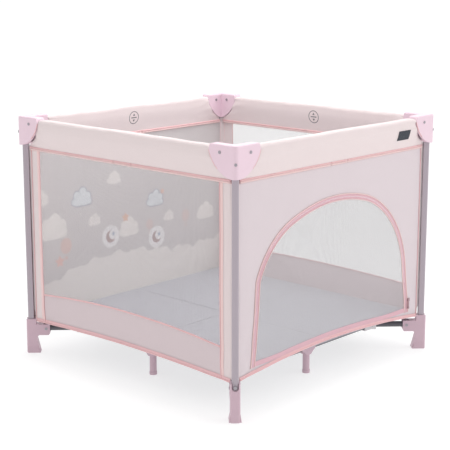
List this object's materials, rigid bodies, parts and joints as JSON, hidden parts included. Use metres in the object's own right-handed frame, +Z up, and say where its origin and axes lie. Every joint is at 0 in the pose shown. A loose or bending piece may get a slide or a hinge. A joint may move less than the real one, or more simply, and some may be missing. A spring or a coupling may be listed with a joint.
{
  "type": "playpen",
  "caption": "Square folding playpen: four legs with corner caps, sewn mesh walls on folding top rails, a zipped door and a padded floor on a frame that folds up round a hub.",
  "frame": {"origin": "on the floor, under the hub, at the middle of the pen's outline", "axes": "+Z up; the wall with the zipped door faces -Y; +X to the right seen from the door"},
  "size_m": [0.9204, 0.9204, 0.757],
  "materials": {
    "leg_metal": "satin grey-lilac powder coat",
    "rail_metal": "satin dark grey powder coat, under the sleeves",
    "floor_metal": "satin dark grey powder coat",
    "pink_plastic": "fine satin grain",
    "pale_plastic": "fine satin grain",
    "fastener_metal": "dull plated steel",
    "wall_fabric": "woven polyester and mesh",
    "door_fabric": "woven polyester and mesh",
    "mat_fabric": "grey heather over padding",
    "zip_metal": "dark satin"
  },
  "bodies": {
    "post_front_left": {"leg_tube_front_left": "leg_metal", "corner_cap_front_left": "pink_plastic", "foot_bracket_front_left": "pink_plastic", "corner_fasteners_front_left": "fastener_metal", "wall_front": "wall_fabric", "wall_left": "wall_fabric"},
    "post_front_right": {"leg_tube_front_right": "leg_metal", "corner_cap_front_right": "pink_plastic", "foot_bracket_front_right": "pink_plastic", "corner_fasteners_front_right": "fastener_metal", "wall_right": "wall_fabric"},
    "post_back_right": {"leg_tube_back_right": "leg_metal", "corner_cap_back_right": "pink_plastic", "foot_bracket_back_right": "pink_plastic", "corner_fasteners_back_right": "fastener_metal"},
    "post_back_left": {"leg_tube_back_left": "leg_metal", "corner_cap_back_left": "pink_plastic", "foot_bracket_back_left": "pink_plastic", "corner_fasteners_back_left": "fastener_metal", "wall_back": "wall_fabric"},
    "arm_front_left": {"floor_arm_front_left": "floor_metal"},
    "coupling_front_left": {"arm_coupling_front_left": "pale_plastic"},
    "arm_front_right": {"floor_arm_front_right": "floor_metal"},
    "coupling_front_right": {"arm_coupling_front_right": "pale_plastic"},
    "arm_back_right": {"floor_arm_back_right": "floor_metal"},
    "coupling_back_right": {"arm_coupling_back_right": "pale_plastic"},
    "arm_back_left": {"floor_arm_back_left": "floor_metal"},
    "coupling_back_left": {"arm_coupling_back_left": "pale_plastic"},
    "hub": {"floor_hub": "pale_plastic", "floor_mat": "mat_fabric"},
    "front_rail_a": {"front_rail_first": "rail_metal"},
    "front_rail_b": {"front_rail_second": "rail_metal"},
    "front_lock": {"rail_lock_front": "pale_plastic"},
    "front_button": {"release_button_front": "pink_plastic"},
    "front_tube_a": {"front_floor_tube_first": "floor_metal"},
    "front_tube_b": {"front_floor_tube_second": "floor_metal"},
    "front_middle": {"middle_foot_front": "pink_plastic"},
    "right_rail_a": {"right_rail_first": "rail_metal"},
    "right_rail_b": {"right_rail_second": "rail_metal"},
    "right_lock": {"rail_lock_right": "pale_plastic"},
    "right_button": {"release_button_right": "pink_plastic"},
    "right_tube_a": {"right_floor_tube_first": "floor_metal"},
    "right_tube_b": {"right_floor_tube_second": "floor_metal"},
    "right_middle": {"middle_foot_right": "pink_plastic"},
    "back_rail_a": {"back_rail_first": "rail_metal"},
    "back_rail_b": {"back_rail_second": "rail_metal"},
    "back_lock": {"rail_lock_back": "pale_plastic"},
    "back_button": {"release_button_back": "pink_plastic"},
    "back_tube_a": {"back_floor_tube_first": "floor_metal"},
    "back_tube_b": {"back_floor_tube_second": "floor_metal"},
    "back_middle": {"middle_foot_back": "pink_plastic"},
    "left_rail_a": {"left_rail_first": "rail_metal"},
    "left_rail_b": {"left_rail_second": "rail_metal"},
    "left_lock": {"rail_lock_left": "pale_plastic"},
    "left_button": {"release_button_left": "pink_plastic"},
    "left_tube_a": {"left_floor_tube_first": "floor_metal"},
    "left_tube_b": {"left_floor_tube_second": "floor_metal"},
    "left_middle": {"middle_foot_left": "pink_plastic"},
    "door": {"door_flap": "door_fabric"},
    "zip": {"zip_pull": "zip_metal"}
  },
  "joints": [
    {"name": "fold", "type": "hinge", "parent": "post_front_left", "child": "arm_front_left", "pos_m": [-0.40677, -0.40677, 0.078], "axis": [0.7071, -0.7071, 0], "range_deg": [0, 85], "deforming": ["wall_front", "wall_right", "wall_back", "wall_left", "door_flap", "floor_mat"]},
    {"name": "hub_tilt", "type": "hinge", "parent": "arm_front_left", "child": "hub", "pos_m": [-0.05677, -0.05677, 0.078], "axis": [-0.7071, 0.7071, 0], "range_deg": [0, 85]},
    {"name": "coupling_tilt_front_left", "type": "hinge", "parent": "arm_front_left", "child": "coupling_front_left", "pos_m": [-0.32686, -0.32686, 0.078], "axis": [-0.7071, 0.7071, 0], "range_deg": [0, 85]},
    {"name": "arm_fold_front_right", "type": "hinge", "parent": "hub", "child": "arm_front_right", "pos_m": [0.05677, -0.05677, 0.078], "axis": [0.7071, 0.7071, 0], "range_deg": [0, 85]},
    {"name": "post_tilt_front_right", "type": "hinge", "parent": "arm_front_right", "child": "post_front_right", "pos_m": [0.40677, -0.40677, 0.078], "axis": [-0.7071, -0.7071, 0], "range_deg": [0, 85]},
    {"name": "coupling_tilt_front_right", "type": "hinge", "parent": "arm_front_right", "child": "coupling_front_right", "pos_m": [0.32686, -0.32686, 0.078], "axis": [-0.7071, -0.7071, 0], "range_deg": [0, 85]},
    {"name": "arm_fold_back_right", "type": "hinge", "parent": "hub", "child": "arm_back_right", "pos_m": [0.05677, 0.05677, 0.078], "axis": [-0.7071, 0.7071, 0], "range_deg": [0, 85]},
    {"name": "post_tilt_back_right", "type": "hinge", "parent": "arm_back_right", "child": "post_back_right", "pos_m": [0.40677, 0.40677, 0.078], "axis": [0.7071, -0.7071, 0], "range_deg": [0, 85]},
    {"name": "coupling_tilt_back_right", "type": "hinge", "parent": "arm_back_right", "child": "coupling_back_right", "pos_m": [0.32686, 0.32686, 0.078], "axis": [0.7071, -0.7071, 0], "range_deg": [0, 85]},
    {"name": "arm_fold_back_left", "type": "hinge", "parent": "hub", "child": "arm_back_left", "pos_m": [-0.05677, 0.05677, 0.078], "axis": [-0.7071, -0.7071, 0], "range_deg": [0, 85]},
    {"name": "post_tilt_back_left", "type": "hinge", "parent": "arm_back_left", "child": "post_back_left", "pos_m": [-0.40677, 0.40677, 0.078], "axis": [0.7071, 0.7071, 0], "range_deg": [0, 85]},
    {"name": "coupling_tilt_back_left", "type": "hinge", "parent": "arm_back_left", "child": "coupling_back_left", "pos_m": [-0.32686, 0.32686, 0.078], "axis": [0.7071, 0.7071, 0], "range_deg": [0, 85]},
    {"name": "front_tube_fold_a", "type": "hinge", "parent": "coupling_front_left", "child": "front_tube_a", "pos_m": [-0.29036, -0.32686, 0.078], "axis": [0, -1, 0], "range_deg": [0, 85]},
    {"name": "front_rail_fold_a", "type": "hinge", "parent": "post_front_left", "child": "front_rail_a", "pos_m": [-0.4, -0.44, 0.736], "axis": [0, 1, 0], "range_deg": [0, 85]},
    {"name": "front_tube_fold_b", "type": "hinge", "parent": "coupling_front_right", "child": "front_tube_b", "pos_m": [0.29036, -0.32686, 0.078], "axis": [0, 1, 0], "range_deg": [0, 85]},
    {"name": "front_rail_fold_b", "type": "hinge", "parent": "post_front_right", "child": "front_rail_b", "pos_m": [0.4, -0.44, 0.736], "axis": [0, -1, 0], "range_deg": [0, 85]},
    {"name": "front_middle_tilt", "type": "hinge", "parent": "front_tube_a", "child": "front_middle", "pos_m": [-0.02027, -0.32686, 0.078], "axis": [0, 1, 0], "range_deg": [0, 85]},
    {"name": "front_lock_tilt", "type": "hinge", "parent": "front_rail_a", "child": "front_lock", "pos_m": [-0.05, -0.44, 0.736], "axis": [0, -1, 0], "range_deg": [0, 85]},
    {"name": "front_button_press", "type": "slide", "parent": "front_lock", "child": "front_button", "axis": [0, -1, 0], "range_m": [0, 0.004], "stiffness_N_per_m": 600},
    {"name": "right_tube_fold_a", "type": "hinge", "parent": "coupling_front_right", "child": "right_tube_a", "pos_m": [0.32686, -0.29036, 0.078], "axis": [1, 0, 0], "range_deg": [0, 85]},
    {"name": "right_rail_fold_a", "type": "hinge", "parent": "post_front_right", "child": "right_rail_a", "pos_m": [0.44, -0.4, 0.736], "axis": [-1, 0, 0], "range_deg": [0, 85]},
    {"name": "right_tube_fold_b", "type": "hinge", "parent": "coupling_back_right", "child": "right_tube_b", "pos_m": [0.32686, 0.29036, 0.078], "axis": [-1, 0, 0], "range_deg": [0, 85]},
    {"name": "right_rail_fold_b", "type": "hinge", "parent": "post_back_right", "child": "right_rail_b", "pos_m": [0.44, 0.4, 0.736], "axis": [1, 0, 0], "range_deg": [0, 85]},
    {"name": "right_middle_tilt", "type": "hinge", "parent": "right_tube_a", "child": "right_middle", "pos_m": [0.32686, -0.02027, 0.078], "axis": [-1, 0, 0], "range_deg": [0, 85]},
    {"name": "right_lock_tilt", "type": "hinge", "parent": "right_rail_a", "child": "right_lock", "pos_m": [0.44, -0.05, 0.736], "axis": [1, 0, 0], "range_deg": [0, 85]},
    {"name": "right_button_press", "type": "slide", "parent": "right_lock", "child": "right_button", "axis": [1, 0, 0], "range_m": [0, 0.004], "stiffness_N_per_m": 600},
    {"name": "back_tube_fold_a", "type": "hinge", "parent": "coupling_back_right", "child": "back_tube_a", "pos_m": [0.29036, 0.32686, 0.078], "axis": [0, 1, 0], "range_deg": [0, 85]},
    {"name": "back_rail_fold_a", "type": "hinge", "parent": "post_back_right", "child": "back_rail_a", "pos_m": [0.4, 0.44, 0.736], "axis": [0, -1, 0], "range_deg": [0, 85]},
    {"name": "back_tube_fold_b", "type": "hinge", "parent": "coupling_back_left", "child": "back_tube_b", "pos_m": [-0.29036, 0.32686, 0.078], "axis": [0, -1, 0], "range_deg": [0, 85]},
    {"name": "back_rail_fold_b", "type": "hinge", "parent": "post_back_left", "child": "back_rail_b", "pos_m": [-0.4, 0.44, 0.736], "axis": [0, 1, 0], "range_deg": [0, 85]},
    {"name": "back_middle_tilt", "type": "hinge", "parent": "back_tube_a", "child": "back_middle", "pos_m": [0.02027, 0.32686, 0.078], "axis": [0, -1, 0], "range_deg": [0, 85]},
    {"name": "back_lock_tilt", "type": "hinge", "parent": "back_rail_a", "child": "back_lock", "pos_m": [0.05, 0.44, 0.736], "axis": [0, 1, 0], "range_deg": [0, 85]},
    {"name": "back_button_press", "type": "slide", "parent": "back_lock", "child": "back_button", "axis": [0, 1, 0], "range_m": [0, 0.004], "stiffness_N_per_m": 600},
    {"name": "left_tube_fold_a", "type": "hinge", "parent": "coupling_back_left", "child": "left_tube_a", "pos_m": [-0.32686, 0.29036, 0.078], "axis": [-1, 0, 0], "range_deg": [0, 85]},
    {"name": "left_rail_fold_a", "type": "hinge", "parent": "post_back_left", "child": "left_rail_a", "pos_m": [-0.44, 0.4, 0.736], "axis": [1, 0, 0], "range_deg": [0, 85]},
    {"name": "left_tube_fold_b", "type": "hinge", "parent": "coupling_front_left", "child": "left_tube_b", "pos_m": [-0.32686, -0.29036, 0.078], "axis": [1, 0, 0], "range_deg": [0, 85]},
    {"name": "left_rail_fold_b", "type": "hinge", "parent": "post_front_left", "child": "left_rail_b", "pos_m": [-0.44, -0.4, 0.736], "axis": [-1, 0, 0], "range_deg": [0, 85]},
    {"name": "left_middle_tilt", "type": "hinge", "parent": "left_tube_a", "child": "left_middle", "pos_m": [-0.32686, 0.02027, 0.078], "axis": [1, 0, 0], "range_deg": [0, 85]},
    {"name": "left_lock_tilt", "type": "hinge", "parent": "left_rail_a", "child": "left_lock", "pos_m": [-0.44, 0.05, 0.736], "axis": [-1, 0, 0], "range_deg": [0, 85]},
    {"name": "left_button_press", "type": "slide", "parent": "left_lock", "child": "left_button", "axis": [-1, 0, 0], "range_m": [0, 0.004], "stiffness_N_per_m": 600},
    {"name": "door_fold", "type": "hinge", "parent": "post_front_left", "child": "door", "pos_m": [0, -0.4348, 0.13], "axis": [1, 0, 0], "range_deg": [0, 105]},
    {"name": "zip_swing", "type": "hinge", "parent": "post_front_right", "child": "zip", "pos_m": [0.372, -0.4378, 0.1685], "axis": [0, 1, 0], "range_deg": [-50, 50]}
  ],
  "couplings": [
    {"joint": "hub_tilt", "follows": "fold", "ratio": 1},
    {"joint": "coupling_tilt_front_left", "follows": "fold", "ratio": 1},
    {"joint": "arm_fold_front_right", "follows": "fold", "ratio": 1},
    {"joint": "post_tilt_front_right", "follows": "fold", "ratio": 1},
    {"joint": "coupling_tilt_front_right", "follows": "fold", "ratio": 1},
    {"joint": "arm_fold_back_right", "follows": "fold", "ratio": 1},
    {"joint": "post_tilt_back_right", "follows": "fold", "ratio": 1},
    {"joint": "coupling_tilt_back_right", "follows": "fold", "ratio": 1},
    {"joint": "arm_fold_back_left", "follows": "fold", "ratio": 1},
    {"joint": "post_tilt_back_left", "follows": "fold", "ratio": 1},
    {"joint": "coupling_tilt_back_left", "follows": "fold", "ratio": 1},
    {"joint": "front_tube_fold_a", "follows": "fold", "ratio": 1},
    {"joint": "front_rail_fold_a", "follows": "fold", "ratio": 1},
    {"joint": "front_tube_fold_b", "follows": "fold", "ratio": 1},
    {"joint": "front_rail_fold_b", "follows": "fold", "ratio": 1},
    {"joint": "front_middle_tilt", "follows": "fold", "ratio": 1},
    {"joint": "front_lock_tilt", "follows": "fold", "ratio": 1},
    {"joint": "right_tube_fold_a", "follows": "fold", "ratio": 1},
    {"joint": "right_rail_fold_a", "follows": "fold", "ratio": 1},
    {"joint": "right_tube_fold_b", "follows": "fold", "ratio": 1},
    {"joint": "right_rail_fold_b", "follows": "fold", "ratio": 1},
    {"joint": "right_middle_tilt", "follows": "fold", "ratio": 1},
    {"joint": "right_lock_tilt", "follows": "fold", "ratio": 1},
    {"joint": "back_tube_fold_a", "follows": "fold", "ratio": 1},
    {"joint": "back_rail_fold_a", "follows": "fold", "ratio": 1},
    {"joint": "back_tube_fold_b", "follows": "fold", "ratio": 1},
    {"joint": "back_rail_fold_b", "follows": "fold", "ratio": 1},
    {"joint": "back_middle_tilt", "follows": "fold", "ratio": 1},
    {"joint": "back_lock_tilt", "follows": "fold", "ratio": 1},
    {"joint": "left_tube_fold_a", "follows": "fold", "ratio": 1},
    {"joint": "left_rail_fold_a", "follows": "fold", "ratio": 1},
    {"joint": "left_tube_fold_b", "follows": "fold", "ratio": 1},
    {"joint": "left_rail_fold_b", "follows": "fold", "ratio": 1},
    {"joint": "left_middle_tilt", "follows": "fold", "ratio": 1},
    {"joint": "left_lock_tilt", "follows": "fold", "ratio": 1}
  ]
}
